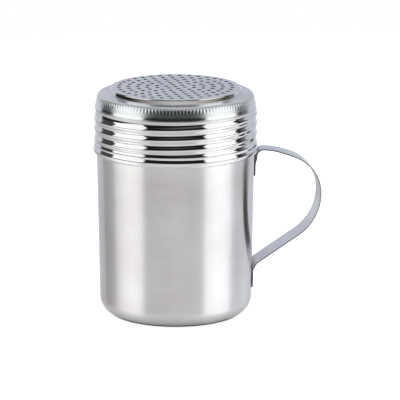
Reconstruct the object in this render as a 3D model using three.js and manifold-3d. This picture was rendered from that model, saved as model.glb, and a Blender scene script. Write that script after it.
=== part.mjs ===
// A restaurant spice dredge: a drawn stainless cup with a strap handle and a perforated screw lid.
// Millimetres, +Z up. The origin is the centre of the cup's flat foot, and the handle lies along +X.

import * as THREE from 'three';
import { mergeVertices } from 'three/addons/utils/BufferGeometryUtils.js';
import Module from 'manifold-3d';

const wasm = await Module();
wasm.setup();

// How finely round forms are faceted.
const columns = 40;
const rowsPerPitch = 5;
const cornerSteps = 4;
const lidCornerSteps = 2;
const platformEdgeSteps = 2;
const degreesPerBendStep = 9;
const strapSteps = 4;
const holeSides = 6;
const weldSides = 12;

// Clearance between pieces that touch or pass each other, and how far a cutter runs past a sheet.
const fitGap = 0.3;
const cutOverrun = 0.6;

// Cup: one deep-drawn shell, a little wider at its shoulder than at its foot.
const cupSheet = 0.5;
const cupRadius = 33.84;
const cupTaper = 1.16;
const cupHeight = 72;
const cupCornerRadius = 7;

// Neck of the cup, hidden under the lid, with a rolled thread and a plain lip.
const neckDraw = 2.2;
const neckInset = 0.49;
const neckRidge = 0.6;
const neckThreadLength = 17.4;
const lipDraw = 1.6;
const lipInset = 1.9;
const lipLength = 2.15;

// The thread that the cup and the lid share: right-handed, six turns to the inch.
const pitch = 25.4 / 6;
const firstCrestRise = 3;
const groovePlay = 0.5;
const ridgePlay = 0.02;
const lidBottomTurn = -1;
const neckBottomTurn = 0.15;
const lidThreadReach = 0.25;
const neckTurnsShort = 0.25;
const runOutTurns = 0.35;

// Lid: a raised, perforated platform on a shoulder, a conical grip band and a threaded skirt.
const lidSheet = 0.45;
const shoulderWidth = 5.75;
const platformEdgeRadius = 0.9;
const platformStep = 2.4;
const platformWallLean = 0.06;
const shoulderFillet = 0.4;
const lidCornerRadius = 1.9;
const lidCornerDegrees = 45;
const gripSpread = 0.3;
const gripTaper = 0.95;
const gripHeight = 4.45;
const collarSpread = 0.36;
const collarDrop = 0.5;
const lidGrooveDrop = 1.25;
const flareSpread = 0.58;
const flareLength = 2.1;
const creaseDraw = 0.14;
const creaseLength = 0.45;

// Perforations: concentric rings, each with six holes more than the ring inside it.
const holeRadius = 0.8;
const holeRings = 6;
const holesPerRingStep = 6;
const holeMargin = 3.64;
const holePhaseDegrees = 39;

// Hem: the lid's lower edge, folded outwards into a smooth bead that covers the cup's shoulder.
const hemOverlap = 1.4;
const hemHeight = 3.25;
const hemPlay = 0.35;
const hemFold = 0.57;
const hemTopLip = 0.44;
const hemBottomLip = 0.12;
const hemTopRound = 1.15;
const hemBottomRound = 1.7;

// Handle: one strap, welded to the cup by its two feet, its bends in proportion to the cup.
const strapThickness = 0.6;
const strapWidth = 12.7;
const upperFootWidth = 8;
const upperFootLength = 6.3;
const upperNeckLength = 2.4;
const upperNeckLift = 0.35;
const lowerFootLength = 7.2;
const handleRise = 0.1;
const topBendRadius = 2.75;
const handleShare = 5 / 6;
const crownShare = 0.45;
const backShare = 1.228;
const knuckleShare = 0.292;
const heelShare = 0.362;
const crownDegrees = 15.3;
const backDegrees = 5.5;
const lowerArmDegrees = 33.5;
const lowerBendRadius = 5;
const lowerBlendLength = 2.5;
const wideningLength = 19;

// Spot welds: two on each foot.
const weldRadius = 1.2;
const weldMargin = 1.9;

// Heights, worked out from the cup upwards.
const fullTurn = 2 * Math.PI;
const wallHeight = cupHeight - cupCornerRadius;
const crestHeightAtHandle = cupHeight + firstCrestRise;
const neckHeight = cupHeight + neckDraw;
const rimHeight = neckHeight + neckThreadLength + lipDraw + lipLength;
const shoulderHeight = rimHeight + fitGap + lidSheet;
const lidHeight = shoulderHeight + platformStep;
const gripTopHeight = shoulderHeight - lidCornerRadius / 2;
const gripBottomHeight = gripTopHeight - gripHeight;
const collarHeight = gripBottomHeight - collarDrop;
const grooveHeight = collarHeight - lidGrooveDrop;
const hemBottom = cupHeight - hemOverlap;
const hemTop = hemBottom + hemHeight;
const skirtBottom = hemTop + fitGap;
const flareHeight = skirtBottom + creaseLength;
const lidTopTurn = (grooveHeight + lidThreadReach - crestHeightAtHandle) / pitch;
const neckTopTurn = lidTopTurn - neckTurnsShort;

// Radii, worked out from the cup outwards.
const cupBaseRadius = cupRadius - cupTaper;
const neckRadius = cupRadius - neckInset;
const lipRadius = cupRadius - lipInset;
const lidGrooveRadius = neckRadius + groovePlay + lidSheet;
const lidRidge = neckRidge + ridgePlay;
const gripBottomRadius = lidGrooveRadius + gripSpread;
const gripTopRadius = gripBottomRadius - gripTaper;
const platformRadius = gripTopRadius - shoulderWidth;
const platformFootRadius = platformRadius + platformWallLean;
const holeRingPitch = (platformRadius - holeMargin) / holeRings;
const hemBore = neckRadius + neckRidge + hemPlay;
const hemRadius = hemBore + lidSheet + hemFold;

const satinSteel = new THREE.MeshStandardMaterial({ color: 0xc9cbce, roughness: 0.34, metalness: 1 });
const polishedSteel = new THREE.MeshStandardMaterial({ color: 0xd3d5d8, roughness: 0.14, metalness: 1 });
const handleSteel = new THREE.MeshStandardMaterial({ color: 0xc3c6cf, roughness: 0.28, metalness: 1 });
const weldSteel = new THREE.MeshStandardMaterial({ color: 0xa9abb0, roughness: 0.45, metalness: 1 });

function radians(degrees) {
  return degrees * Math.PI / 180;
}

// A smooth ramp from 0 at start to 1 at end.
function ramp(start, end, value) {
  const share = THREE.MathUtils.clamp((value - start) / (end - start), 0, 1);
  return share * share * (3 - 2 * share);
}

// Points on an arc, from one angle to another, both in degrees from the outward direction.
function arc(centreRadius, centreHeight, radius, fromDegrees, toDegrees, steps) {
  const points = [];
  for (let i = 0; i <= steps; i += 1) {
    const angle = radians(fromDegrees + (toDegrees - fromDegrees) * i / steps);
    points.push(new THREE.Vector2(
      centreRadius + radius * Math.cos(angle),
      centreHeight + radius * Math.sin(angle),
    ));
  }
  return points;
}

// The same outline moved by the sheet's thickness to the left of the direction it is drawn in.
function offsetOutline(outline, distance) {
  return outline.map((point, i) => {
    const before = outline[Math.max(i - 1, 0)];
    const after = outline[Math.min(i + 1, outline.length - 1)];
    const directionIn = point.clone().sub(before).normalize();
    const directionOut = after.clone().sub(point).normalize();
    const normalIn = new THREE.Vector2(-directionIn.y, directionIn.x);
    const normalOut = new THREE.Vector2(-directionOut.y, directionOut.x);
    const bisector = normalIn.clone().add(normalOut).normalize();
    const reach = normalIn.lengthSq() > 0 ? bisector.dot(normalIn) : bisector.dot(normalOut);
    return point.clone().addScaledVector(bisector, distance / reach);
  });
}

// Revolves an outline of (radius, height) points round the Z axis.
function revolve(outline) {
  const geometry = new THREE.LatheGeometry(outline, columns);
  geometry.rotateX(Math.PI / 2);
  return geometry;
}

// Moves every vertex of a geometry by a function that changes its point in place.
function reshape(geometry, change) {
  const positions = geometry.getAttribute('position');
  const point = new THREE.Vector3();
  for (let i = 0; i < positions.count; i += 1) {
    point.fromBufferAttribute(positions, i);
    change(point);
    positions.setXYZ(i, point.x, point.y, point.z);
  }
  return geometry;
}

// How much of the ridge there is at a place: 1 on the crest, 0 in the groove, fading at the ends.
function threadShare(angle, height, bottomTurn, topTurn) {
  const turnsUp = (height - crestHeightAtHandle) / pitch;
  const turn = Math.round(turnsUp - angle / fullTurn) + angle / fullTurn;
  const crest = (1 + Math.cos(fullTurn * (turnsUp - turn))) / 2;
  const start = ramp(bottomTurn, bottomTurn + runOutTurns, turn);
  const end = 1 - ramp(topTurn - runOutTurns, topTurn, turn);
  return crest * start * end;
}

// Heights for the rows of a threaded wall, from one height to another.
function threadRows(fromHeight, toHeight) {
  const rows = Math.floor(Math.abs(toHeight - fromHeight) / pitch * rowsPerPitch);
  return Array.from({ length: rows + 1 }, (_, i) => fromHeight + (toHeight - fromHeight) * i / rows);
}

// Rolls a helical ridge into a revolved wall by pushing its vertices away from the axis.
function rollThread(geometry, ridgeAt, bottomTurn, topTurn) {
  return reshape(geometry, (point) => {
    const angle = Math.atan2(point.y, point.x);
    const push = ridgeAt(point.z) * threadShare(angle, point.z, bottomTurn, topTurn);
    point.x += push * Math.cos(angle);
    point.y += push * Math.sin(angle);
  });
}

// Turns a closed geometry into a solid for cutting.
function toSolid(geometry) {
  const bare = geometry.clone();
  bare.deleteAttribute('normal');
  bare.deleteAttribute('uv');
  const merged = mergeVertices(bare);
  const index = Array.from(merged.index.array);
  const triangles = [];
  for (let i = 0; i < index.length; i += 3) {
    const [a, b, c] = index.slice(i, i + 3);
    if (a !== b && b !== c && c !== a) triangles.push(a, b, c);
  }
  return new wasm.Manifold(new wasm.Mesh({
    numProp: 3,
    vertProperties: new Float32Array(merged.getAttribute('position').array),
    triVerts: new Uint32Array(triangles),
  }));
}

// Gives a cut solid back as a geometry.
function toGeometry(solid) {
  const mesh = solid.getMesh();
  const geometry = new THREE.BufferGeometry();
  geometry.setAttribute('position', new THREE.BufferAttribute(new Float32Array(mesh.vertProperties), 3));
  geometry.setIndex(new THREE.BufferAttribute(new Uint32Array(mesh.triVerts), 1));
  geometry.computeVertexNormals();
  return geometry;
}

function cutAll(geometry, cutters) {
  const body = toSolid(geometry);
  const tools = cutters.map(toSolid);
  return toGeometry(body.subtract(wasm.Manifold.union(tools)));
}

// The outside radius of the cup's tapering wall.
function wallRadius(height) {
  return cupBaseRadius + cupTaper * (height - cupCornerRadius) / wallHeight;
}

// Cup: flat foot, rounded corner, tapering wall, neck and lip, then the same sheet back down inside.
function cupGeometry() {
  const threadTop = neckHeight + neckThreadLength;
  const neckRows = threadRows(neckHeight, threadTop);
  const outside = [
    new THREE.Vector2(0, 0),
    ...arc(cupBaseRadius - cupCornerRadius, cupCornerRadius, cupCornerRadius, -90, 0, cornerSteps),
    new THREE.Vector2(cupRadius, cupHeight),
    ...neckRows.map((height) => new THREE.Vector2(neckRadius, height)),
    new THREE.Vector2(lipRadius, threadTop + lipDraw),
    new THREE.Vector2(lipRadius, rimHeight),
  ];
  const inside = offsetOutline(outside, cupSheet).reverse();
  return rollThread(revolve([...outside, ...inside]), () => neckRidge, neckBottomTurn, neckTopTurn);
}

// 0 on the lid's threaded skirt, growing to 1 at its flared lower end, where the thread dies out.
function flareShare(height) {
  return 1 - ramp(flareHeight, flareHeight + flareLength, height);
}

// Lid: platform, step, shoulder, grip band, collar and threaded skirt, all in one sheet.
function lidOutline() {
  const skirtRows = threadRows(grooveHeight, flareHeight);
  const cornerRadius = gripTopRadius - lidCornerRadius;
  const cornerHeight = shoulderHeight - lidCornerRadius;
  const edgeRadius = platformRadius - platformEdgeRadius;
  const edgeHeight = lidHeight - platformEdgeRadius;
  const outside = [
    new THREE.Vector2(lidGrooveRadius + flareSpread - creaseDraw, skirtBottom),
    ...skirtRows.map((height) => new THREE.Vector2(
      lidGrooveRadius + flareSpread * flareShare(height),
      height,
    )).reverse(),
    new THREE.Vector2(lidGrooveRadius + collarSpread, collarHeight),
    new THREE.Vector2(gripBottomRadius, gripBottomHeight),
    new THREE.Vector2(gripTopRadius, gripTopHeight),
    ...arc(cornerRadius, cornerHeight, lidCornerRadius, lidCornerDegrees, 90, lidCornerSteps),
    new THREE.Vector2(platformFootRadius + shoulderFillet, shoulderHeight),
    new THREE.Vector2(platformFootRadius, shoulderHeight + shoulderFillet),
    ...arc(edgeRadius, edgeHeight, platformEdgeRadius, 0, 90, platformEdgeSteps),
    new THREE.Vector2(0, lidHeight),
  ];
  const inside = offsetOutline(outside, lidSheet).reverse();
  return [...inside, ...outside];
}

// Centres of the perforations, ring by ring from the middle.
function holeCentres() {
  const centres = [new THREE.Vector2(0, 0)];
  for (let ring = 1; ring <= holeRings; ring += 1) {
    const count = ring * holesPerRingStep;
    for (let i = 0; i < count; i += 1) {
      const angle = radians(holePhaseDegrees) + fullTurn * i / count;
      const radius = ring * holeRingPitch;
      centres.push(new THREE.Vector2(radius * Math.cos(angle), radius * Math.sin(angle)));
    }
  }
  return centres;
}

function holeCutter(centre) {
  const length = lidSheet + 2 * cutOverrun;
  const cutter = new THREE.CylinderGeometry(holeRadius, holeRadius, length, holeSides);
  cutter.rotateX(Math.PI / 2);
  cutter.rotateZ(Math.atan2(centre.y, centre.x));
  cutter.translate(centre.x, centre.y, lidHeight - lidSheet / 2);
  return cutter;
}

function lidGeometry() {
  const ridgeAt = (height) => lidRidge * (1 - flareShare(height));
  const shell = rollThread(revolve(lidOutline()), ridgeAt, lidBottomTurn, lidTopTurn);
  return cutAll(shell, holeCentres().map(holeCutter));
}

// Hem: a folded bead with a plain bore that passes over the neck's thread.
function hemGeometry() {
  const beadTop = hemTop - hemTopRound;
  const beadBottom = hemBottom + hemBottomRound;
  const topLipRadius = hemBore + hemTopLip;
  const bottomLipRadius = hemBore + hemBottomLip;
  const lowerCurve = new THREE.CubicBezierCurve(
    new THREE.Vector2(bottomLipRadius, hemBottom),
    new THREE.Vector2((bottomLipRadius + hemRadius) / 2, hemBottom + hemBottomRound / 4),
    new THREE.Vector2(hemRadius, hemBottom + hemBottomRound / 2),
    new THREE.Vector2(hemRadius, beadBottom),
  );
  const upperCurve = new THREE.QuadraticBezierCurve(
    new THREE.Vector2(hemRadius, beadTop),
    new THREE.Vector2(hemRadius, (beadTop + hemTop) / 2),
    new THREE.Vector2(topLipRadius, hemTop),
  );
  const outline = [
    ...lowerCurve.getPoints(cornerSteps),
    ...upperCurve.getPoints(cornerSteps),
    new THREE.Vector2(hemBore, hemTop),
    new THREE.Vector2(hemBore, hemBottom),
    new THREE.Vector2(bottomLipRadius, hemBottom),
  ];
  return revolve(outline);
}

// A pen that draws the strap's centre line with straights and bends, in the (x, z) plane.
class StrapPen {
  constructor(x, z, headingDegrees) {
    this.at = new THREE.Vector2(x, z);
    this.heading = radians(headingDegrees);
    this.points = [this.at.clone()];
  }

  straight(length) {
    this.at.add(new THREE.Vector2(Math.cos(this.heading), Math.sin(this.heading)).multiplyScalar(length));
    this.points.push(this.at.clone());
  }

  // Turns by a number of degrees, clockwise when negative.
  bend(radius, degrees) {
    const steps = Math.ceil(Math.abs(degrees) / degreesPerBendStep);
    const side = Math.sign(degrees);
    for (let i = 0; i < steps; i += 1) {
      const next = this.heading + radians(degrees) / steps;
      this.at.x += side * radius * (Math.sin(next) - Math.sin(this.heading));
      this.at.y -= side * radius * (Math.cos(next) - Math.cos(this.heading));
      this.heading = next;
      this.points.push(this.at.clone());
    }
  }
}

const handleTopHeight = hemBottom + handleRise;
const handleSize = cupHeight * handleShare;
const footOffset = fitGap + strapThickness / 2;
const upperNeckTop = handleTopHeight - topBendRadius;
const upperFootTop = upperNeckTop - upperNeckLength;
const upperFootMiddle = upperFootTop - upperFootLength / 2;

// Centre line from the upper foot's end, over the top, round the back and down to the lower foot.
function strapCentreLine() {
  const upperX = wallRadius(upperFootMiddle) + footOffset + upperNeckLift;
  const pen = new StrapPen(upperX, upperFootTop - upperFootLength, 90);
  pen.straight(upperFootLength);
  pen.straight(upperNeckLength / 2);
  pen.straight(upperNeckLength / 2);
  pen.bend(topBendRadius, -90);
  pen.bend(handleSize * crownShare, -crownDegrees);
  pen.bend(handleSize * backShare, -backDegrees);
  pen.bend(handleSize * knuckleShare, crownDegrees + backDegrees - 90);
  pen.bend(handleSize * heelShare, lowerArmDegrees - 90);
  const slope = radians(lowerArmDegrees);
  const bendFall = lowerBendRadius * Math.cos(slope);
  const bendReach = lowerBendRadius * (1 - Math.sin(slope));
  const runTo = (x) => (pen.at.x - x - bendReach) / Math.cos(slope);
  const footAt = (x) => pen.at.y - runTo(x) * Math.sin(slope) - bendFall - lowerFootLength / 2;
  const firstGuess = footAt(cupBaseRadius + footOffset);
  const lowerX = wallRadius(firstGuess) + footOffset;
  pen.straight(runTo(lowerX));
  pen.bend(lowerBendRadius, 90 - lowerArmDegrees);
  const lowerFootTop = pen.at.y;
  pen.straight(lowerFootLength);
  return { points: pen.points, lowerFootTop, upperX, lowerX };
}

const centreLine = strapCentreLine();
const lowerFootMiddle = centreLine.lowerFootTop - lowerFootLength / 2;

const handleMiddle = handleTopHeight / 2;

// 1 on a foot that hugs the cup, fading to 0 where the strap has left it.
function hugShare(x, z) {
  if (z > handleMiddle) {
    const below = 1 - ramp(upperFootTop, upperNeckTop, z);
    return below * (1 - ramp(centreLine.upperX, centreLine.upperX + topBendRadius, x));
  }
  const below = 1 - ramp(centreLine.lowerFootTop, centreLine.lowerFootTop + lowerBlendLength, z);
  return below * (1 - ramp(centreLine.lowerX, centreLine.lowerX + lowerBendRadius, x));
}

// The strap is narrow at its upper foot and widens over the top to its full width.
function widthShare(x, z) {
  const narrow = upperFootWidth / strapWidth;
  const grown = ramp(centreLine.upperX, centreLine.upperX + wideningLength, x);
  return z > handleMiddle ? narrow + (1 - narrow) * grown : 1;
}

// Strap: the centre line thickened, extruded to its width, narrowed and pressed round the cup.
function strapGeometry() {
  const left = offsetOutline(centreLine.points, strapThickness / 2);
  const right = offsetOutline(centreLine.points, -strapThickness / 2);
  const shape = new THREE.Shape([...right, ...left.reverse()]);
  const settings = { depth: strapWidth, steps: strapSteps, bevelEnabled: false, curveSegments: 1 };
  const geometry = new THREE.ExtrudeGeometry(shape, settings);
  geometry.rotateX(Math.PI / 2);
  geometry.translate(0, strapWidth / 2, 0);
  reshape(geometry, (point) => {
    point.y *= widthShare(point.x, point.z);
    const isUpper = point.z > handleMiddle;
    const lift = isUpper ? upperNeckLift : 0;
    const sagitta = point.x - Math.sqrt(point.x ** 2 - point.y ** 2);
    const lean = wallRadius(point.z) - wallRadius(isUpper ? upperFootMiddle : lowerFootMiddle);
    point.x += hugShare(point.x, point.z) * (lean - lift - sagitta);
  });
  const cutLength = strapThickness + 2 * cutOverrun;
  return cutAll(geometry, welds.map((weld) => weldCylinder(weld, weldRadius + fitGap, cutLength)));
}

// A short cylinder that points straight out of the cup's wall.
function weldCylinder(weld, radius, length) {
  const geometry = new THREE.CylinderGeometry(radius, radius, length, weldSides);
  geometry.rotateZ(-Math.PI / 2);
  geometry.translate(wallRadius(weld.height) + footOffset, 0, 0);
  geometry.rotateZ(weld.angle);
  geometry.translate(0, 0, weld.height);
  return geometry;
}

// Two welds side by side on each foot, as far apart on both as the narrow foot allows.
function weldPair(foot, height) {
  const angle = (upperFootWidth / 2 - weldMargin) / wallRadius(height);
  return [
    { name: `${foot}_foot_weld_front`, height, angle: -angle },
    { name: `${foot}_foot_weld_back`, height, angle },
  ];
}

const welds = [...weldPair('upper', upperFootMiddle), ...weldPair('lower', lowerFootMiddle)];

function piece(name, geometry, material) {
  const mesh = new THREE.Mesh(geometry, material);
  mesh.name = name;
  return mesh;
}

function buildCup() {
  const cup = new THREE.Group();
  cup.add(piece('cup_body', cupGeometry(), satinSteel));
  cup.add(piece('handle_strap', strapGeometry(), handleSteel));
  welds.forEach((weld) => {
    cup.add(piece(weld.name, weldCylinder(weld, weldRadius, strapThickness), weldSteel));
  });
  return cup;
}

function buildLid() {
  const lid = new THREE.Group();
  lid.add(piece('lid_shell', lidGeometry(), polishedSteel));
  lid.add(piece('lid_hem', hemGeometry(), polishedSteel));
  return lid;
}

const dredge = new THREE.Group();
dredge.add(buildCup());
dredge.add(buildLid());

export default dredge;
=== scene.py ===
import math

import bpy
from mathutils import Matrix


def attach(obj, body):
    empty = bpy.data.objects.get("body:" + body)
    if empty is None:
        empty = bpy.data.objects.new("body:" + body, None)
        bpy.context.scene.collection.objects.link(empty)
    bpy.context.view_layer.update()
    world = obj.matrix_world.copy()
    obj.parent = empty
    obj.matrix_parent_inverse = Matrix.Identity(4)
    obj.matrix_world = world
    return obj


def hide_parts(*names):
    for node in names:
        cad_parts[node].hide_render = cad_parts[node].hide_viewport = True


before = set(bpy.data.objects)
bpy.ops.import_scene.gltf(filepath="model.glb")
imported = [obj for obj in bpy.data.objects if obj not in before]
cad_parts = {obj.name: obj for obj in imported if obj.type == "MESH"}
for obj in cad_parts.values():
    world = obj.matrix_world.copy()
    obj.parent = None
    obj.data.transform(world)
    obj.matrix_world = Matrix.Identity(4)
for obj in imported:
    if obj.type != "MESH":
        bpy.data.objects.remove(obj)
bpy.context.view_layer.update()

# Cup
# One deep-drawn shell of stainless sheet: a flat foot, a rounded corner, a slightly tapering wall,
# and under the lid a neck with a rolled thread and a plain lip. It is spun bright and then brushed
# round its axis to a satin finish.
MM = 0.001
full_turn = 2 * math.pi
cup_columns = 192
cup_sheet = 0.5 * MM
cup_radius = 33.84 * MM
cup_taper = 1.16 * MM
cup_height = 72 * MM
cup_corner_radius = 7 * MM
cup_corner_steps = 16
wall_steps = 10
shoulder_swell = 0.16 * MM
swell_start = cup_height - 6 * MM
shoulder_edge = 0.2 * MM
neck_radius = 33.35 * MM
neck_bottom = 74.2 * MM
neck_top = 91.6 * MM
lip_radius = 31.94 * MM
lip_bottom = 93.2 * MM
lip_top = 95.35 * MM
# The thread has six turns to the inch. Where it starts and ends is counted in turns from its first
# crest, and it runs out over a third of a turn.
pitch = 25.4 / 6 * MM
first_crest = 75 * MM
run_out = 0.35
neck_ridge = 0.6 * MM
neck_thread = (0.15, 3.1)
rows_per_pitch = 16
merge_distance = 0.002 * MM


def ease(start, end, value):
    """A smooth ramp from 0 at start to 1 at end."""
    share = min(max((value - start) / (end - start), 0), 1)
    return share * share * (3 - 2 * share)


def wall_radius(height):
    share = (height - cup_corner_radius) / (cup_height - cup_corner_radius)
    return cup_radius - cup_taper * (1 - share)


def even_rows(start, end, steps):
    return [start + (end - start) * i / steps for i in range(steps + 1)]


def arc_points(centre_radius, centre_height, radius, from_degrees, to_degrees, steps):
    """Points on an arc in a half profile, measured from the outward direction."""
    angles = [math.radians(degrees) for degrees in even_rows(from_degrees, to_degrees, steps)]
    return [(centre_radius + radius * math.cos(a), centre_height + radius * math.sin(a)) for a in angles]


def inner_side(profile, thickness):
    """The half profile moved to its left by the sheet's thickness, or by a negative one to its right,
    and run backwards."""
    moved = []
    for i, (r, z) in enumerate(profile):
        r0, z0 = profile[max(i - 1, 0)]
        r1, z1 = profile[min(i + 1, len(profile) - 1)]
        length = math.hypot(r1 - r0, z1 - z0)
        inner = max(r - (z1 - z0) / length * thickness, 0)
        moved.append((inner if r > 0 else 0, z + (r1 - r0) / length * thickness))
    return moved[::-1]


def deselect():
    bpy.ops.object.select_all(action="DESELECT")


def choose(piece):
    """Makes this piece the only one selected, and the active one."""
    deselect()
    piece.select_set(True)
    bpy.context.view_layer.objects.active = piece


def start_point(name, x, y, z):
    """Starts a piece as a single point in edit mode."""
    deselect()
    bpy.ops.mesh.primitive_plane_add(size=MM)
    piece = bpy.context.object
    piece.name = name
    bpy.ops.object.mode_set(mode="EDIT")
    bpy.ops.mesh.select_all(action="SELECT")
    bpy.ops.mesh.merge(type="CENTER")
    bpy.ops.transform.translate(value=(x, y, z))
    return piece


def draw_line(points):
    """Extrudes the selected point along a line in the XZ plane that starts at it."""
    for (x0, z0), (x1, z1) in zip(points, points[1:]):
        bpy.ops.mesh.extrude_vertices_move(TRANSFORM_OT_translate={"value": (x1 - x0, 0, z1 - z0)})


def spin_sheet(name, profile, columns):
    """Draws a half profile edge by edge and spins it round the axis into one shell."""
    start_radius, start_height = profile[0]
    piece = start_point(name, start_radius, 0, start_height)
    draw_line(profile)
    bpy.ops.mesh.select_all(action="SELECT")
    bpy.ops.mesh.spin(steps=columns, angle=full_turn, center=(0, 0, 0), axis=(0, 0, 1))
    bpy.ops.mesh.select_all(action="SELECT")
    bpy.ops.mesh.remove_doubles(threshold=merge_distance)
    bpy.ops.mesh.normals_make_consistent(inside=False)
    bpy.ops.object.mode_set(mode="OBJECT")
    return piece


def thread_share(angle, height, start_turn, end_turn):
    """How much of the ridge there is: 1 on the crest of the right-handed helix, 0 in the groove."""
    turns = (height - first_crest) / pitch
    crest_turn = round(turns - angle / full_turn) + angle / full_turn
    crest = (1 + math.cos(full_turn * (turns - crest_turn))) / 2
    run_in = ease(start_turn, start_turn + run_out, crest_turn)
    return crest * run_in * (1 - ease(end_turn - run_out, end_turn, crest_turn))


def move_out(co, growth):
    """Moves a point away from the axis in the ratio of its new radius to its old one."""
    co.x *= growth
    co.y *= growth


def roll_thread(piece, ridge_at, start_turn, end_turn):
    """Rolls the helix into a spun wall: every point moves out from the axis by its share."""
    for vertex in piece.data.vertices:
        co = vertex.co
        ridge = ridge_at(co.z)
        radius = math.hypot(co.x, co.y)
        if ridge > 0 and radius > 0:
            share = thread_share(math.atan2(co.y, co.x), co.z, start_turn, end_turn)
            move_out(co, 1 + ridge * share / radius)


def smooth(piece, degrees):
    choose(piece)
    bpy.ops.object.shade_smooth_by_angle(angle=math.radians(degrees))


corner_middle = wall_radius(cup_corner_radius) - cup_corner_radius
neck_rows = round((neck_top - neck_bottom) / pitch * rows_per_pitch)
cup_outside = [(0, 0)]
cup_outside += arc_points(corner_middle, cup_corner_radius, cup_corner_radius, -90, 0, cup_corner_steps)
cup_outside += [
    (wall_radius(z) + shoulder_swell * ease(swell_start, cup_height, z), z)
    for z in even_rows(cup_corner_radius, cup_height, wall_steps)[1:-1]
]
cup_outside += [(cup_radius + shoulder_swell, z) for z in (cup_height - shoulder_edge, cup_height)]
cup_outside += [(neck_radius, z) for z in even_rows(neck_bottom, neck_top, neck_rows)]
cup_outside += [(lip_radius, lip_bottom), (lip_radius, lip_top)]
cup = spin_sheet("cup", cup_outside + inner_side(cup_outside, cup_sheet), cup_columns)
roll_thread(cup, lambda z: neck_ridge if z > cup_height else 0, *neck_thread)
smooth(cup, 40)


def feed(tree, node, inputs):
    """Gives a node its inputs: a number or colour is set, and another node's output is linked."""
    for name, value in inputs.items():
        if isinstance(value, bpy.types.NodeSocket):
            tree.links.new(value, node.inputs[name])
        else:
            node.inputs[name].default_value = value


def add(tree, kind, inputs=None, **settings):
    """Adds a node with its settings and its inputs."""
    node = tree.nodes.new(kind)
    for key, value in settings.items():
        setattr(node, key, value)
    feed(tree, node, inputs or {})
    return node


def new_material(name):
    material = bpy.data.materials.new(name)
    material.use_nodes = True
    tree = material.node_tree
    return material, tree, tree.nodes["Principled BSDF"]


def own_point(tree):
    """A place in the piece's own coordinates."""
    return add(tree, "ShaderNodeTexCoord").outputs["Object"]


def split(tree, point):
    """The X, Y and Z of a place."""
    return add(tree, "ShaderNodeSeparateXYZ", {0: point}).outputs


def math_node(tree, operation, first, second=None):
    values = {0: first} if second is None else {0: first, 1: second}
    return add(tree, "ShaderNodeMath", values, operation=operation).outputs[0]


def total(tree, first, *others):
    """The sum of several values."""
    for value in others:
        first = math_node(tree, "ADD", first, value)
    return first


def spread(tree, value, low, high, to_low, to_high):
    """Map Range with smooth ends."""
    inputs = {"Value": value, "From Min": low, "From Max": high, "To Min": to_low, "To Max": to_high}
    return add(tree, "ShaderNodeMapRange", inputs, interpolation_type="SMOOTHSTEP").outputs["Result"]


def mixed(tree, mask, first, second, **settings):
    """Two colours mixed by a mask. A colour is three numbers or another node's output."""
    first, second = ((*c, 1) if isinstance(c, tuple) else c for c in (first, second))
    inputs = {"Factor": mask, "A": first, "B": second}
    return add(tree, "ShaderNodeMix", inputs, data_type="RGBA", **settings).outputs["Result"]


def noise(tree, point, scale, detail):
    inputs = {"Vector": point, "Scale": scale, "Detail": detail}
    return add(tree, "ShaderNodeTexNoise", inputs).outputs["Fac"]


def scratches(tree, height, strength):
    """The slight relief of brushed lines or of rolled grain."""
    inputs = {"Height": height, "Strength": strength, "Distance": 0.02 * MM}
    return add(tree, "ShaderNodeBump", inputs).outputs["Normal"]


def make_group(name, inputs, outputs):
    group = bpy.data.node_groups.new(name, "ShaderNodeTree")
    for label, kind in inputs:
        group.interface.new_socket(label, in_out="INPUT", socket_type=kind)
    for label, kind in outputs:
        group.interface.new_socket(label, in_out="OUTPUT", socket_type=kind)
    return group, group.nodes.new("NodeGroupInput").outputs, group.nodes.new("NodeGroupOutput")


# Brushing round the axis: fine lines that run round the piece, drawn by noise that is stretched
# along the angle, and a slower cloudiness, as handling and uneven polishing leave it.
brushing, brush_in, brush_out = make_group(
    "brushing_round_axis",
    [("Point", "NodeSocketVector"), ("Lines per mm", "NodeSocketFloat"), ("Depth", "NodeSocketFloat")],
    [("Lines", "NodeSocketFloat"), ("Clouds", "NodeSocketFloat"), ("Normal", "NodeSocketVector")],
)
line_stretch = 2.0
cloud_scale = 45.0
brush_x, brush_y, brush_z = split(brushing, brush_in["Point"])
around = math_node(brushing, "ARCTAN2", brush_y, brush_x)
x_squared = math_node(brushing, "POWER", brush_x, 2.0)
y_squared = math_node(brushing, "POWER", brush_y, 2.0)
outward = math_node(brushing, "SQRT", total(brushing, x_squared, y_squared))
per_metre = math_node(brushing, "MULTIPLY", brush_in["Lines per mm"], 1000.0)
stretched = add(brushing, "ShaderNodeCombineXYZ", {
    "X": math_node(brushing, "MULTIPLY", math_node(brushing, "SINE", around), line_stretch),
    "Y": math_node(brushing, "MULTIPLY", math_node(brushing, "COSINE", around), line_stretch),
    "Z": math_node(brushing, "MULTIPLY", total(brushing, brush_z, outward), per_metre),
}).outputs[0]
lines = noise(brushing, stretched, scale=1.0, detail=4.0)
feed(brushing, brush_out, {
    "Lines": lines,
    "Clouds": noise(brushing, brush_in["Point"], cloud_scale, detail=3.0),
    "Normal": scratches(brushing, lines, brush_in["Depth"]),
})


def brushed(tree, lines_per_mm, depth):
    """Places the brushing in a material, read from the piece's own coordinates."""
    inputs = {"Point": own_point(tree), "Lines per mm": lines_per_mm, "Depth": depth}
    return add(tree, "ShaderNodeGroup", inputs, node_tree=brushing).outputs


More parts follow.
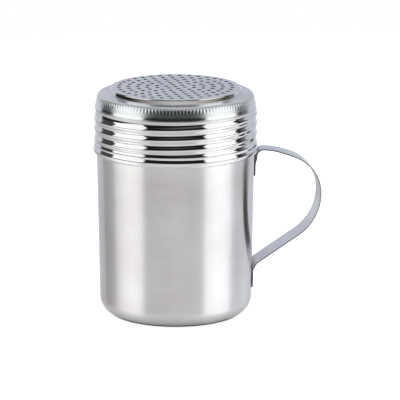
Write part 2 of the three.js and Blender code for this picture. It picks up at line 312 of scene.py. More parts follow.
# The steel is satin and a little cloudy, and palest in a band at the top of the wall, under the lid: a
# painted highlight.
# Noise hardly leaves the middle of its range, so masks are spread from the two ranges here.
noise_range = (0.3, 0.7)
cloud_range = (0.32, 0.68)
cup_dull, cup_clean = (0.86, 0.835, 0.845), (0.925, 0.93, 0.935)
cup_painted_sheen = (0.965, 0.965, 0.96)
cup_roughness = (0.24, 0.27)
band_start = 63 * MM
band_share = 0.9
cup_steel, cup_tree, cup_shader = new_material("cup_satin_steel")
cup_brush = brushed(cup_tree, lines_per_mm=2.5, depth=0.15)
cup_clouds = spread(cup_tree, cup_brush["Clouds"], *cloud_range, 0.0, 1.0)
cup_satin = mixed(cup_tree, cup_clouds, cup_dull, cup_clean)
cup_z = split(cup_tree, own_point(cup_tree))["Z"]
painted_sheen_band = spread(cup_tree, cup_z, band_start, cup_height, 0.0, band_share)
feed(cup_tree, cup_shader, {
    "Base Color": mixed(cup_tree, painted_sheen_band, cup_satin, cup_painted_sheen),
    "Metallic": 1.0,
    "Roughness": spread(cup_tree, cup_brush["Lines"], *noise_range, *cup_roughness),
    "Anisotropic": 1.0,
    "Anisotropic Rotation": 0.25,
    "Tangent": add(cup_tree, "ShaderNodeTangent", direction_type="RADIAL", axis="Z").outputs[0],
    "Normal": cup_brush["Normal"],
})
cup.data.materials.append(cup_steel)
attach(cup, "cup")
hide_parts("cup_body")

# Handle
# One strip of stainless steel, bent on formers and welded to the cup by two feet that are pressed
# to the cup's curve. It narrows towards its upper foot, and its edges are rolled.
strap_thickness = 0.6 * MM
strap_half_width = 6.35 * MM
strips_across = 16
edge_roll = 0.16 * MM
foot_half_width = 4 * MM
widening_length = 19 * MM
handle_top = 70.7 * MM
upper_foot_length = 6.3 * MM
neck_length = 2.4 * MM
neck_lift = 0.62 * MM
top_bend_radius = 2.75 * MM
handle_size = 60 * MM
lower_arm_degrees = 33.5
lower_bend_radius = 5 * MM
lower_foot_length = 7.2 * MM
foot_offset = 0.08 * MM + strap_thickness / 2
degrees_per_step = 2.5
foot_steps = 8
neck_steps = 4
arm_steps = 16
# The grip's four bends, each a share of the handle's size as its radius and the degrees it turns.
grip_bends = ((0.43, -15.3), (1.228, -5.5), (0.292, -69.2), (0.362, lower_arm_degrees - 90))


class StrapPath:
    """Walks along the strap's centre line in the XZ plane, with straights and bends."""

    def __init__(self, x, z, heading):
        self.x, self.z, self.heading = x, z, math.radians(heading)
        self.points = [(x, z)]

    def straight(self, length, steps):
        for _ in range(steps):
            self.x += math.cos(self.heading) * length / steps
            self.z += math.sin(self.heading) * length / steps
            self.points.append((self.x, self.z))

    def bend(self, radius, degrees):
        steps = math.ceil(abs(degrees) / degrees_per_step)
        side = math.copysign(radius, degrees)
        for _ in range(steps):
            following = self.heading + math.radians(degrees) / steps
            self.x += side * (math.sin(following) - math.sin(self.heading))
            self.z -= side * (math.cos(following) - math.cos(self.heading))
            self.heading = following
            self.points.append((self.x, self.z))


upper_foot_top = handle_top - top_bend_radius - neck_length
upper_foot_middle = upper_foot_top - upper_foot_length / 2
upper_x = wall_radius(upper_foot_middle) + foot_offset + neck_lift
strap_path = StrapPath(upper_x, upper_foot_top - upper_foot_length, 90)
strap_path.straight(upper_foot_length, foot_steps)
strap_path.straight(neck_length, neck_steps)
strap_path.bend(top_bend_radius, -90)
for share, degrees in grip_bends:
    strap_path.bend(handle_size * share, degrees)

# The lower arm runs straight in to the lower foot, which lies on the cup's tapering wall.
slope = math.radians(lower_arm_degrees)
bend_reach = lower_bend_radius * (1 - math.sin(slope))


def lower_run(x):
    return (strap_path.x - x - bend_reach) / math.cos(slope)


rough_foot = strap_path.z - lower_run(wall_radius(cup_corner_radius) + foot_offset) * math.sin(slope)
rough_foot -= lower_bend_radius * math.cos(slope) + lower_foot_length / 2
lower_x = wall_radius(rough_foot) + foot_offset
strap_path.straight(lower_run(lower_x), arm_steps)
strap_path.bend(lower_bend_radius, 90 - lower_arm_degrees)
lower_foot_top = strap_path.z
lower_foot_middle = lower_foot_top - lower_foot_length / 2
strap_path.straight(lower_foot_length, foot_steps)

strap_start_x, strap_start_z = strap_path.points[0]
handle = start_point("handle", strap_start_x, -strap_half_width, strap_start_z)
draw_line(strap_path.points)
bpy.ops.mesh.select_all(action="SELECT")
strip_move = (0, 2 * strap_half_width / strips_across, 0)
for _ in range(strips_across):
    bpy.ops.mesh.extrude_edges_move(TRANSFORM_OT_translate={"value": strip_move})
bpy.ops.mesh.select_all(action="SELECT")
bpy.ops.mesh.normals_make_consistent(inside=False)
bpy.ops.object.mode_set(mode="OBJECT")

# The strap comes away from the cup's curve over short lengths at the neck and at the lower bend.
hug_below = 1.8 * MM
hug_above = 0.3 * MM
blend_length = 2.5 * MM


def press_to_cup(co):
    """Narrows the strap towards its upper foot and presses both feet to the cup's round wall."""
    if co.z > handle_top / 2:
        narrow = foot_half_width / strap_half_width
        co.y *= narrow + (1 - narrow) * ease(upper_x, upper_x + widening_length, co.x)
        hug = 1 - ease(upper_foot_top - hug_below, upper_foot_top + neck_length + hug_above, co.z)
        hug *= 1 - ease(upper_x, upper_x + top_bend_radius, co.x)
        lean = wall_radius(co.z) - wall_radius(upper_foot_middle) - neck_lift
    else:
        hug = 1 - ease(lower_foot_top, lower_foot_top + blend_length, co.z)
        hug *= 1 - ease(lower_x, lower_x + lower_bend_radius, co.x)
        lean = wall_radius(co.z) - wall_radius(lower_foot_middle)
    sagitta = co.x - math.sqrt(co.x**2 - co.y**2)
    co.x += hug * (lean - sagitta)


# How far each point lies along the strip is kept for its rolled grain, before the point is pressed.
def strap_place(x, z):
    return round(x / MM, 2), round(z / MM, 2)


distance_at = {}
distance = 0
for (x0, z0), (x1, z1) in zip(strap_path.points[:1] + strap_path.points, strap_path.points):
    distance += math.hypot(x1 - x0, z1 - z0)
    distance_at[strap_place(x1, z1)] = distance
along_strip = handle.data.attributes.new("along", "FLOAT", "POINT")
for vertex in handle.data.vertices:
    along_strip.data[vertex.index].value = distance_at.get(strap_place(vertex.co.x, vertex.co.z), 0)
    press_to_cup(vertex.co)


def finish_with(piece, kind, **settings):
    """Adds a modifier with its settings and applies it."""
    choose(piece)
    modifier = piece.modifiers.new(kind.lower(), kind)
    for key, value in settings.items():
        setattr(modifier, key, value)
    bpy.ops.object.modifier_apply(modifier=modifier.name)


sharp = math.radians(50)
finish_with(handle, "SOLIDIFY", thickness=strap_thickness, offset=0)
finish_with(handle, "BEVEL", width=edge_roll, segments=3, limit_method="ANGLE", angle_limit=sharp)
smooth(handle, 35)

# The strip has a fine rolled grain along its length. Its image in the cup is darker and duller
# than the strip itself, as it is in the photograph, so reflected rays see another colour.
strip_dark, strip_light = (0.67, 0.68, 0.7), (0.95, 0.955, 0.965)
strip_roughness = (0.26, 0.36)
mirror_painted_shade = (0.32, 0.33, 0.3)
mirror_dulling = 0.6
grain_along = 90.0
grain_across = 3500.0
grain_depth = 0.2
handle_steel, handle_tree, handle_shader = new_material("handle_steel")
along = add(handle_tree, "ShaderNodeAttribute", attribute_name="along").outputs["Fac"]
handle_y = split(handle_tree, own_point(handle_tree))["Y"]
grain_point = add(handle_tree, "ShaderNodeCombineXYZ", {
    "X": math_node(handle_tree, "MULTIPLY", along, grain_along),
    "Y": math_node(handle_tree, "MULTIPLY", handle_y, grain_across),
}).outputs[0]
grain = noise(handle_tree, grain_point, scale=1.0, detail=3.0)
grain_colour = mixed(handle_tree, grain, strip_dark, strip_light)
# Reflected rays see the strip in painted shade, darkened by this tint.
in_mirror = add(handle_tree, "ShaderNodeLightPath").outputs["Is Glossy Ray"]
feed(handle_tree, handle_shader, {
    "Base Color": mixed(handle_tree, in_mirror, grain_colour, mirror_painted_shade, blend_type="MULTIPLY"),
    "Metallic": 1.0,
    "Roughness": total(
        handle_tree,
        spread(handle_tree, grain, *noise_range, *strip_roughness),
        math_node(handle_tree, "MULTIPLY", in_mirror, mirror_dulling),
    ),
    "Normal": scratches(handle_tree, grain, grain_depth),
})
handle.data.materials.append(handle_steel)

# Fine grit breaks up a rough or dirty surface.
grit_scale = 900.0
fine_grit, grit_in, grit_out = make_group(
    "fine_grit",
    [("Point", "NodeSocketVector"), ("Scale", "NodeSocketFloat")],
    [("Grit", "NodeSocketFloat")],
)
feed(fine_grit, grit_out, {"Grit": noise(fine_grit, grit_in["Point"], grit_in["Scale"], detail=2.0)})


def gritty(tree, point):
    """Places the grit in a material."""
    inputs = {"Point": point, "Scale": grit_scale}
    return add(tree, "ShaderNodeGroup", inputs, node_tree=fine_grit).outputs["Grit"]


# The strip's two edges are as sheared: grey and rough. They are darkest at the upper foot, where shade
# is painted on them, and lighter towards the back and along the lower arm.
edge_painted_shade, edge_light_grey = (0.004, 0.004, 0.005), (0.42, 0.42, 0.44)
edge_steel, edge_tree, edge_shader = new_material("sheared_edge")
edge_point = own_point(edge_tree)
edge_x, _, edge_z = split(edge_tree, edge_point)
lighter_outwards = spread(edge_tree, edge_x, 35.5 * MM, 58 * MM, 0.0, 0.75)
lighter_over_lower_foot = spread(edge_tree, edge_z, 18.5 * MM, 21 * MM, 0.0, 0.4)
darker_towards_top = spread(edge_tree, edge_z, 40 * MM, 60 * MM, 0.0, -0.4)
edge_grit = spread(edge_tree, gritty(edge_tree, edge_point), *noise_range, 0.0, 0.2)
edge_lightness = total(edge_tree, lighter_outwards, edge_grit, lighter_over_lower_foot, darker_towards_top)
feed(edge_tree, edge_shader, {
    "Base Color": mixed(edge_tree, edge_lightness, edge_painted_shade, edge_light_grey),
    "Metallic": 1.0,
    "Roughness": 0.5,
})
handle.data.materials.append(edge_steel)

# Under the neck of the upper foot the strip is painted almost black: painted shade in the gap between
# strip and cup.
foot_painted_shade, foot_plain = (0.006, 0.006, 0.006), (0.7, 0.71, 0.73)
shade_steel, shade_tree, shade_shader = new_material("foot_shade")
shade_z = split(shade_tree, own_point(shade_tree))["Z"]
out_of_foot = spread(shade_tree, shade_z, 63.6 * MM, 65.6 * MM, 0.0, 1.0)
feed(shade_tree, shade_shader, {
    "Base Color": mixed(shade_tree, out_of_foot, foot_painted_shade, foot_plain),
    "Metallic": 1.0,
    "Roughness": 0.5,
})
handle.data.materials.append(shade_steel)

# The corner where the strap's inner face meets the cup is painted pale and dull, and less metallic
# towards the bottom:
# painted light in the corner.
corner_dull, corner_pale = (0.76, 0.77, 0.8), (0.88, 0.89, 0.91)
corner_steel, corner_tree, corner_shader = new_material("painted_light_in_corner")
corner_point = own_point(corner_tree)
corner_z = split(corner_tree, corner_point)["Z"]
corner_grit = gritty(corner_tree, corner_point)
feed(corner_tree, corner_shader, {
    "Base Color": mixed(corner_tree, corner_grit, corner_dull, corner_pale),
    "Metallic": spread(corner_tree, corner_z, 21 * MM, 25.5 * MM, 0.1, 1.0),
    "Roughness": 0.4,
})
handle.data.materials.append(corner_steel)

# Faces are told apart by how far their normals point sideways or inwards, and by their place.
edge_slot, shade_slot, corner_slot = 1, 2, 3
edge_facing, shade_facing, corner_facing = 0.8, -0.4, -0.3
shade_reach = 36.6 * MM
corner_top = 26 * MM
for face in handle.data.polygons:
    x, _, z = face.center
    if abs(face.normal.y) > edge_facing:
        face.material_index = edge_slot
    elif face.normal.x < shade_facing and x < shade_reach and z > handle_top / 2:
        face.material_index = shade_slot
    elif face.normal.x < corner_facing and lower_foot_top < z < corner_top:
        face.material_index = corner_slot
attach(handle, "cup")
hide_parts("handle_strap")

# Spot welds
# Two resistance welds hold each foot: round electrode marks, slightly dished, with a raised rim
# and the dull colour of heated steel.
weld_columns = 32
weld_radius = 1.2 * MM
weld_from_middle = foot_half_width - 1.9 * MM
weld_back = -0.2 * MM
dish_radius = 0.6 * MM
dish_height = 0.27 * MM
rise_radius = 0.85 * MM
rise_height = 0.29 * MM
rim_inner = 1.0 * MM
rim_outer = 1.12 * MM
rim_height = 0.34 * MM
weld_profile = [
    (0, dish_height),
    (dish_radius, dish_height),
    (rise_radius, rise_height),
    (rim_inner, rim_height),
    (rim_outer, rim_height),
    (weld_radius, rise_height),
    (weld_radius, weld_back),
    (0, weld_back),
]
heated_brown, heated_blue = (0.42, 0.38, 0.36), (0.58, 0.59, 0.64)
heat_range = (0.35, 0.65)
weld_roughness = (0.35, 0.55)
weld_steel, weld_tree, weld_shader = new_material("weld_mark_steel")
weld_brush = brushed(weld_tree, lines_per_mm=1.0, depth=0.3)
weld_heat = spread(weld_tree, weld_brush["Clouds"], *heat_range, 0.0, 1.0)
feed(weld_tree, weld_shader, {
    "Base Color": mixed(weld_tree, weld_heat, heated_brown, heated_blue),
    "Metallic": 1.0,
    "Roughness": spread(weld_tree, weld_brush["Lines"], *noise_range, *weld_roughness),
    "Normal": weld_brush["Normal"],
})
weld_mark = spin_sheet("weld_mark", weld_profile, weld_columns)
smooth(weld_mark, 40)
weld_mark.data.materials.append(weld_steel)
for foot, height in (("upper", upper_foot_middle), ("lower", lower_foot_middle)):
    for side, sign in (("front", -1), ("back", 1)):
        choose(weld_mark)
        bpy.ops.object.duplicate()
        weld = bpy.context.object
        weld.name = f"{foot}_weld_{side}"
        turn = sign * weld_from_middle / wall_radius(height)
        bpy.ops.object.mode_set(mode="EDIT")
        bpy.ops.mesh.select_all(action="SELECT")
        bpy.ops.transform.rotate(value=-math.pi / 2, orient_axis="Y", center_override=(0, 0, 0))
        bpy.ops.transform.translate(value=(wall_radius(height) + foot_offset, 0, height))
        bpy.ops.transform.rotate(value=-turn, orient_axis="Z", center_override=(0, 0, 0))
        bpy.ops.object.mode_set(mode="OBJECT")
        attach(weld, "cup")
        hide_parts(f"{foot}_foot_weld_{side}")
bpy.data.objects.remove(weld_mark)

# Lid
# One stamping of bright steel: a raised platform with punched holes, a shoulder, a knurled grip
# band, a collar, and a skirt with a rolled thread that screws on to the neck of the cup.
lid_columns = 146
lid_sheet = 0.45 * MM
lid_height = 98.5 * MM
platform_radius = 27.9 * MM
platform_edge = 0.6 * MM
edge_steps = 9
wall_degrees = 6.2
wall_shares = (0.05, 0.5, 0.96)
shoulder_height = 96.1 * MM
shoulder_fillet = 0.12 * MM
fillet_steps = 5
shoulder_rim = 1.2 * MM
lid_corner = 1.9 * MM
lid_corner_steps = 10
grip_top_radius = 33.65 * MM
grip_lean = 12.9
grip_bottom_radius = 34.6 * MM
grip_bottom = 90.15 * MM
grip_rows = 14
collar_radius = 34.6 * MM
collar_height = 89.8 * MM
collar_rows = 4
groove_radius = 34.3 * MM
groove_height = 89.1 * MM
groove_dip = 0.12 * MM
groove_end = 87.9 * MM
groove_rows = 8
lid_ridge = 0.66 * MM
lid_thread = (-1, 3.354)
lid_thread_top = 90 * MM
flare_start = 76.7 * MM
flare_radius = 34.88 * MM
flare_height = 74.6 * MM
crease_radius = 34.84 * MM
crease_height = 73.95 * MM
crease_rows = 5
crease_wave = 5 / 6


def flare_share(height):
    """How far the skirt has flared out above its hem."""
    return 1 - ease(flare_height, flare_start, height)


def half_wave(share):
    """A smooth ramp from 0 to 1, as half a wave runs."""
    return (1 - math.cos(math.pi * share)) / 2


def carry_on(profile, end, rows, shape=lambda share: share):
    """Carries a half profile on to an end point, in rows that are even in height."""
    r0, z0 = profile[-1]
    r1, z1 = end
    for share in even_rows(0, 1, rows)[1:]:
        profile.append((r0 + (r1 - r0) * shape(share), z0 + (z1 - z0) * share))


wall_turn = math.radians(wall_degrees)
wall_top = lid_height - platform_edge
edge_and_fillet = platform_edge + shoulder_fillet
wall_drop = lid_height - shoulder_height - edge_and_fillet * (1 - math.sin(wall_turn))
wall_lean = math.tan(wall_turn) * wall_drop - edge_and_fillet * (1 - math.cos(wall_turn))
fillet_middle = platform_radius + wall_lean + shoulder_fillet, shoulder_height + shoulder_fillet
corner_radius = grip_top_radius - lid_corner
skirt_rows = round((groove_height - flare_height) / pitch * rows_per_pitch)
lid_outside = [(0, lid_height)]
lid_outside += arc_points(
    platform_radius - platform_edge, wall_top, platform_edge, 90, wall_degrees, edge_steps
)
lid_outside += [(platform_radius + wall_lean * s, wall_top - wall_drop * s) for s in wall_shares]
lid_outside += arc_points(*fillet_middle, shoulder_fillet, 180 + wall_degrees, 270, fillet_steps)
lid_outside.append((corner_radius - shoulder_rim, shoulder_height))
lid_outside += arc_points(
    corner_radius, shoulder_height - lid_corner, lid_corner, 90, grip_lean, lid_corner_steps
)
carry_on(lid_outside, (grip_bottom_radius, grip_bottom), grip_rows)
carry_on(lid_outside, (collar_radius, collar_height), collar_rows)
carry_on(lid_outside, (groove_radius - groove_dip, groove_height), groove_rows, half_wave)
for z in even_rows(groove_height, flare_height, skirt_rows)[1:]:
    dip = groove_dip * ease(groove_end, groove_height, z)
    lid_outside.append((groove_radius - dip + (flare_radius - groove_radius) * flare_share(z), z))
carry_on(lid_outside, (crease_radius, crease_height), crease_rows, lambda s: half_wave(s * crease_wave))
lid = spin_sheet("lid", lid_outside + inner_side(lid_outside, -lid_sheet), lid_columns)
roll_thread(lid, lambda z: lid_ridge * (1 - flare_share(z)) if z < lid_thread_top else 0, *lid_thread)

# The knurl: a toothed roller leaves fine upright teeth in the grip band, deepest at its top.
tooth_count = lid_columns
tooth_depth = 0.18 * MM
tooth_cuts = 3
knurl_top = 95.6 * MM
knurl_full = 95.3 * MM
knurl_bottom = 92.1 * MM
knurl_fade = 3
knurl_margin = 0.4 * MM
band_height = 95 * MM
band_lean = 0.12
band_edge_radius = 33.3 * MM
band_point_radius = 33.2 * MM
level_slack = 0.01 * MM


def on_grip_band(co, least_radius):
    """Whether a point lies outside a cone that stands just inside the grip band."""
    least = least_radius + band_lean * (band_height - co.z)
    in_height = knurl_bottom - knurl_margin < co.z < knurl_top + knurl_margin
    return in_height and math.hypot(co.x, co.y) > least


choose(lid)
bpy.ops.object.mode_set(mode="EDIT")
bpy.ops.mesh.select_all(action="DESELECT")
bpy.ops.mesh.select_mode(type="EDGE")
bpy.ops.object.mode_set(mode="OBJECT")
for edge in lid.data.edges:
    one, two = (lid.data.vertices[i].co for i in edge.vertices)
    level = abs(one.z - two.z) < level_slack
    edge.select = level and on_grip_band(one, band_edge_radius) and on_grip_band(two, band_edge_radius)
bpy.ops.object.mode_set(mode="EDIT")
bpy.ops.mesh.subdivide(number_cuts=tooth_cuts)
bpy.ops.mesh.select_mode(type="VERT")
bpy.ops.object.mode_set(mode="OBJECT")

# The new points lie on the straight edges between columns. Each is lifted to the round band, and
# then every point of the band sinks by its share of a tooth.
column_turn = full_turn / lid_columns
for vertex in lid.data.vertices:
    co = vertex.co
    if on_grip_band(co, band_point_radius):
        radius = math.hypot(co.x, co.y)
        angle = math.atan2(co.y, co.x)
        from_column = (angle * lid_columns / full_turn + 0.5) % 1 - 0.5
        from_middle = (0.5 - abs(from_column)) * column_turn
        round_radius = radius * math.cos(from_middle) / math.cos(column_turn / 2)
        fade = ease(knurl_bottom, knurl_full, co.z) ** knurl_fade
        fade *= 1 - ease(knurl_full, knurl_top, co.z)
        valley = (1 - math.cos(angle * tooth_count)) / 2
        move_out(co, (round_radius - tooth_depth * fade * valley) / radius)

# The punched holes: one in the middle and six more in each ring than in the ring inside it.
hole_radius = 0.96 * MM
hole_sides = 16
hole_rings = 6
holes_added = 6
hole_pitch = 4.0433 * MM
hole_phase = math.radians(39)
punch_depth = 2 * MM


def add_punch(x, y):
    """Adds one punch through the platform."""
    bpy.ops.mesh.primitive_cylinder_add(
        vertices=hole_sides, radius=hole_radius, depth=punch_depth, location=(x, y, lid_height)
    )


deselect()
add_punch(0, 0)
punches = bpy.context.object
bpy.ops.object.transform_apply(location=True)
bpy.ops.object.mode_set(mode="EDIT")
for ring in range(1, hole_rings + 1):
    for i in range(ring * holes_added):
        angle = hole_phase + full_turn * i / (ring * holes_added)
        add_punch(ring * hole_pitch * math.cos(angle), ring * hole_pitch * math.sin(angle))
bpy.ops.object.mode_set(mode="OBJECT")
finish_with(lid, "BOOLEAN", operation="DIFFERENCE", object=punches, solver="EXACT")
bpy.data.objects.remove(punches)
smooth(lid, 30)

# The lid is polished and its platform is satin. The collar and the knurl are a little duller, as
# if hands had worn them, most of all on the crests of the teeth, and the knurl is cooler in colour.
plain_dull, plain_bright = (0.77, 0.775, 0.785), (0.88, 0.88, 0.885)
knurl_dull, knurl_bright = (0.79, 0.825, 0.83), (0.87, 0.9, 0.905)
lid_steel, lid_tree, lid_shader = new_material("lid_polished_steel")
lid_brush = brushed(lid_tree, lines_per_mm=1.5, depth=0.03)
lid_x, lid_y, lid_z = split(lid_tree, own_point(lid_tree))


def by_height(start, end, below, over):
    """A value that changes on the lid between two heights, which are in millimetres."""
    return spread(lid_tree, lid_z, start * MM, end * MM, below, over)


lid_clouds = spread(lid_tree, lid_brush["Clouds"], *cloud_range, 0.0, 1.0)
plain_colour = mixed(lid_tree, lid_clouds, plain_dull, plain_bright)
knurl_colour = mixed(lid_tree, lid_clouds, knurl_dull, knurl_bright)
in_knurl = total(lid_tree, by_height(90.2, 91.4, 0.0, 1.0), by_height(95.4, 95.7, 0.0, -1.0))
lid_angle = math_node(lid_tree, "ARCTAN2", lid_y, lid_x)
tooth_turn = math_node(lid_tree, "MULTIPLY", lid_angle, float(tooth_count))
crest_wear = spread(lid_tree, math_node(lid_tree, "COSINE", tooth_turn), -0.3, 0.9, -0.07, 0.18)
crest_wear = math_node(lid_tree, "MULTIPLY", crest_wear, by_height(92.9, 94.3, 0.0, 1.0))
crest_wear = math_node(lid_tree, "MULTIPLY", crest_wear, by_height(95.2, 95.7, 1.0, 0.0))
collar_wear = total(lid_tree, by_height(88.8, 89.3, 0.0, 0.24), by_height(90.4, 91.2, 0.0, -0.24))
knurl_wear = by_height(90.4, 92.5, 0.0, 0.2)
shoulder_satin = by_height(95.6, 96.05, 0.0, 0.12)
step_polish = by_height(96.15, 96.5, 0.0, -0.3)
platform_satin = by_height(98.25, 98.45, 0.06, 0.32)
feed(lid_tree, lid_shader, {
    "Base Color": mixed(lid_tree, in_knurl, plain_colour, knurl_colour),
    "Metallic": 1.0,
    "Roughness": total(
        lid_tree, shoulder_satin, step_polish, platform_satin, knurl_wear, crest_wear, collar_wear
    ),
    "Normal": lid_brush["Normal"],
})
lid.data.materials.append(lid_steel)

# The sheared walls of the holes are rough and painted near black: painted shade inside the holes.
hole_shade_black, hole_shade_grey = (0.003, 0.003, 0.004), (0.012, 0.012, 0.014)
hole_wall, wall_tree, wall_shader = new_material("hole_wall")
wall_clouds = brushed(wall_tree, lines_per_mm=3.0, depth=0.05)["Clouds"]
feed(wall_tree, wall_shader, {
    "Base Color": mixed(wall_tree, wall_clouds, hole_shade_black, hole_shade_grey),
    "Specular IOR Level": 0.1,
    "Roughness": 0.7,
})
lid.data.materials.append(hole_wall)
hole_reach = 26 * MM
upright = 0.5
for face in lid.data.polygons:
    x, y, z = face.center
    in_sheet = abs(face.normal.z) < upright and lid_height - lid_sheet < z < lid_height
    face.material_index = int(in_sheet and math.hypot(x, y) < hole_reach)
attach(lid, "lid")
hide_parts("lid_shell")

# Hem
# The lower edge of the lid's own sheet, folded outwards into a smooth bead that hides the cup's
# shoulder. It has the lid's finish.
hem_radius = 35.32 * MM
hem_bottom = 70.6 * MM
hem_bore = 34.3 * MM
hem_lip = 34.42 * MM
bead_low = 72.3 * MM
bead_high = 72.7 * MM
bead_rows = 14
bead_fullness = 1.3
side_rows = 12
side_hollow = 1.1
hem_profile = []
for share in even_rows(0, 1, bead_rows):
    turn = share * math.pi / 2
    bead_radius = hem_lip + (hem_radius - hem_lip) * math.sin(turn)
    bead_height = hem_bottom + (bead_low - hem_bottom) * (1 - math.cos(turn)) ** bead_fullness
    hem_profile.append((bead_radius, bead_height))
for share in even_rows(0, 1, side_rows):
    side_radius = hem_radius + (crease_radius - hem_radius) * share**side_hollow
    hem_profile.append((side_radius, bead_high + (crease_height - bead_high) * share))
hem_profile += [(hem_bore, crease_height), (hem_bore, hem_bottom)]
hem = spin_sheet("hem", hem_profile + hem_profile[:1], lid_columns)
smooth(hem, 35)
hem.data.materials.append(lid_steel)
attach(hem, "hem")
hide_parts("lid_hem")

# Studio
# A pale floor with a painted shadow: it is dark only in a thin ring at the foot. The camera sees it
# lifted to white, and away from the foot the steel doesn't see it, but the painted table of the studio
# instead.
floor_size = 1.3
painted_contact_shadow, floor_white = (0.01, 0.01, 0.01), (0.86, 0.86, 0.86)
deselect()
bpy.ops.mesh.primitive_plane_add(size=floor_size)
floor = bpy.context.object
floor.name = "floor"
floor_paint, floor_tree, floor_shader = new_material("floor_paint")
floor_rays = add(floor_tree, "ShaderNodeLightPath").outputs
from_axis = add(floor_tree, "ShaderNodeVectorMath", {0: own_point(floor_tree)}, operation="LENGTH")
from_axis = from_axis.outputs["Value"]
out_of_painted_shadow = spread(floor_tree, from_axis, 27.3 * MM, 28.0 * MM, 0.0, 1.0)
out_of_shade = spread(floor_tree, from_axis, 27.7 * MM, 28.3 * MM, 0.0, 0.62)
away_from_foot = spread(floor_tree, from_axis, 32 * MM, 48 * MM, 0.0, 1.0)
feed(floor_tree, floor_shader, {
    "Base Color": mixed(floor_tree, out_of_painted_shadow, painted_contact_shadow, floor_white),
    "Specular IOR Level": 0.0,
    "Roughness": 0.9,
})
lift = add(floor_tree, "ShaderNodeEmission", {
    "Strength": math_node(floor_tree, "MULTIPLY", floor_rays["Is Camera Ray"], out_of_shade),
})
lifted = add(floor_tree, "ShaderNodeAddShader", {0: floor_shader.outputs[0], 1: lift.outputs[0]})
cleared = add(floor_tree, "ShaderNodeMixShader", {
    0: math_node(floor_tree, "MULTIPLY", floor_rays["Is Glossy Ray"], away_from_foot),
    1: lifted.outputs[0],
    2: add(floor_tree, "ShaderNodeBsdfTransparent").outputs[0],
})
feed(floor_tree, floor_tree.nodes["Material Output"], {"Surface": cleared.outputs[0]})
floor.data.materials.append(floor_paint)

# The studio's light: rings of panels at five heights, each painted by azimuth from the camera's
# side. The middle of a ring, 0 degrees, is at the camera, and its two ends meet behind the object.
view_azimuth = math.radians(-7)
view_elevation = math.radians(13.6)
world = bpy.data.worlds.new("studio")
bpy.context.scene.world = world
world.use_nodes = True
sky = world.node_tree
sky_x, sky_y, sky_z = split(sky, add(sky, "ShaderNodeTexCoord").outputs["Generated"])
toward_x, toward_y = math.sin(view_azimuth), -math.cos(view_azimuth)


def along_direction(x_share, y_share):
    x_part = math_node(sky, "MULTIPLY", sky_x, x_share)
    return total(sky, x_part, math_node(sky, "MULTIPLY", sky_y, y_share))


ahead = along_direction(toward_x, toward_y)
aside = along_direction(-toward_y, toward_x)
half_turns = math_node(sky, "DIVIDE", math_node(sky, "ARCTAN2", aside, ahead), math.pi)
ring_place = math_node(sky, "DIVIDE", total(sky, half_turns, 1.0), 2.0)


def studio_ring(stops):
    """One ring's colours, from behind the object on the left, past the camera, to behind it again."""
    node = add(sky, "ShaderNodeValToRGB", {"Fac": ring_place})
    elements = node.color_ramp.elements
    while len(elements) < len(stops):
        elements.new(0.5)
    for element, (degrees, _) in zip(elements, stops):
        element.position = degrees / 360 + 0.5
    for element, (_, colour) in zip(elements, stops):
        element.color = (*colour, 1)
    return node.outputs["Color"]


black, white = (0.006, 0.01, 0.011), (1.2, 1.2, 1.2)
pale, far = (0.61, 0.63, 0.68), (0.51, 0.54, 0.62)
table_below = studio_ring([
    (-180, (0.42, 0.43, 0.46)), (-106, (0.42, 0.42, 0.43)), (-90, (0.72, 0.72, 0.71)),
    (-54, (0.72, 0.72, 0.71)), (-44, (0.58, 0.575, 0.57)), (38, (0.58, 0.575, 0.57)),
    (48, (0.88, 0.88, 0.89)), (90, (0.88, 0.88, 0.89)), (100, (0.52, 0.52, 0.53)),
    (180, (0.42, 0.43, 0.46)),
])
table = studio_ring([
    (-180, (0.68, 0.69, 0.72)), (-164, (0.6, 0.61, 0.63)), (-148, (0.46, 0.46, 0.47)),
    (-134, (0.46, 0.45, 0.45)), (-120, (0.53, 0.51, 0.51)), (-108, (0.68, 0.67, 0.66)),
    (-98, (0.97, 0.96, 0.95)), (-84, (1.2, 1.19, 1.16)), (-72, (1.27, 1.26, 1.23)),
    (-56, (1.12, 1.11, 1.09)), (-49, (0.74, 0.725, 0.725)), (-36, (0.745, 0.73, 0.725)),
    (0, (0.77, 0.755, 0.75)), (32, (0.74, 0.735, 0.74)), (40, (0.78, 0.78, 0.79)),
    (47, (1.05, 1.06, 1.08)), (66, (1.4, 1.41, 1.44)), (87, (1.34, 1.36, 1.4)),
    (94, (0.88, 0.89, 0.92)), (124, (0.82, 0.83, 0.86)), (145, (0.58, 0.59, 0.62)),
    (164, (0.6, 0.61, 0.63)), (180, (0.68, 0.69, 0.72)),
])
horizon = studio_ring([
    (-180, (0.95, 0.97, 1.0)), (-164, (0.85, 0.87, 0.9)), (-150, pale), (-133, pale),
    (-127, (0.02, 0.02, 0.02)), (-88, (0.02, 0.02, 0.02)), (-76, (0.07, 0.068, 0.065)),
    (-58, (0.25, 0.245, 0.235)), (-36, (0.42, 0.415, 0.4)), (0, (0.6, 0.6, 0.57)),
    (30, (0.54, 0.53, 0.5)), (60, (0.38, 0.365, 0.33)), (80, (0.24, 0.225, 0.2)),
    (92, (0.08, 0.075, 0.07)), (106, (0.1, 0.095, 0.085)), (112, (0.15, 0.14, 0.13)),
    (121, (0.15, 0.14, 0.13)), (127, pale), (150, pale), (164, (0.85, 0.87, 0.9)),
    (180, (0.95, 0.97, 1.0)),
])
tent = studio_ring([
    (-180, far), (-131, pale), (-126, (0.07, 0.07, 0.075)), (-101, (0.05, 0.05, 0.055)),
    (-97, white), (-49, white), (-45, black), (42, black), (46, white), (94, white),
    (98, (0.02, 0.02, 0.02)), (105, (0.03, 0.03, 0.03)), (110, (0.13, 0.13, 0.14)),
    (115, (0.17, 0.17, 0.18)), (120, pale), (180, far),
])
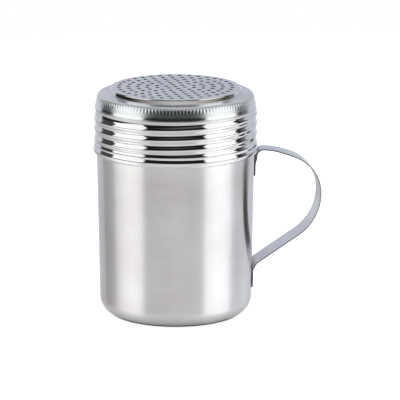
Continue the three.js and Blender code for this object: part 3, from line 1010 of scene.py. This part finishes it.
top = studio_ring([
    (-180, (0.6, 0.62, 0.67)), (-126, (0.6, 0.61, 0.64)), (-120, (0.14, 0.14, 0.14)),
    (-102, (0.14, 0.14, 0.14)), (-96, (0.36, 0.36, 0.37)), (-60, (0.33, 0.33, 0.34)),
    (0, (0.45, 0.45, 0.47)), (60, (0.4, 0.4, 0.41)), (95, (0.38, 0.38, 0.4)),
    (100, (0.14, 0.14, 0.14)), (120, (0.14, 0.14, 0.14)), (126, (0.6, 0.61, 0.64)),
    (180, (0.6, 0.62, 0.67)),
])

# From below upwards: where each ring meets the one over it, and how softly, in degrees.
studio_light = table_below
for degrees, soft, ring in ((-50, 16, table), (-9, 2, horizon), (2, 1.2, tent), (42, 8, top)):
    low, high = (math.sin(math.radians(degrees + side * soft)) for side in (-1, 1))
    studio_light = mixed(sky, spread(sky, sky_z, low, high, 0.0, 1.0), studio_light, ring)

# The steel reflects the panels, plain light falls on all that is dull, and the camera sees white.
sky_rays = add(sky, "ShaderNodeLightPath").outputs
plain_light, backdrop = (0.9, 0.9, 0.9), (1.0, 1.0, 1.0)
lighting = mixed(sky, sky_rays["Is Glossy Ray"], plain_light, studio_light)
shown = mixed(sky, sky_rays["Is Camera Ray"], lighting, backdrop)
feed(sky, sky.nodes["Background"], {"Color": shown})

# The camera faces the handle's side, turned a little away from the handle, and looks down on the lid.
camera_distance = 1.4
look_height = 48 * MM
camera_data = bpy.data.cameras.new("camera")
camera_data.lens = 293
camera_data.sensor_width = 36
camera_data.shift_x = 0.0610
camera_data.shift_y = 0.0042
camera_data.clip_end = 50
camera = bpy.data.objects.new("camera", camera_data)
bpy.context.scene.collection.objects.link(camera)
camera.location = (
    camera_distance * math.cos(view_elevation) * math.sin(view_azimuth),
    -camera_distance * math.cos(view_elevation) * math.cos(view_azimuth),
    look_height + camera_distance * math.sin(view_elevation),
)
camera.rotation_euler = (math.pi / 2 - view_elevation, 0, view_azimuth)
bpy.context.scene.camera = camera
bpy.context.scene.view_settings.view_transform = "Standard"
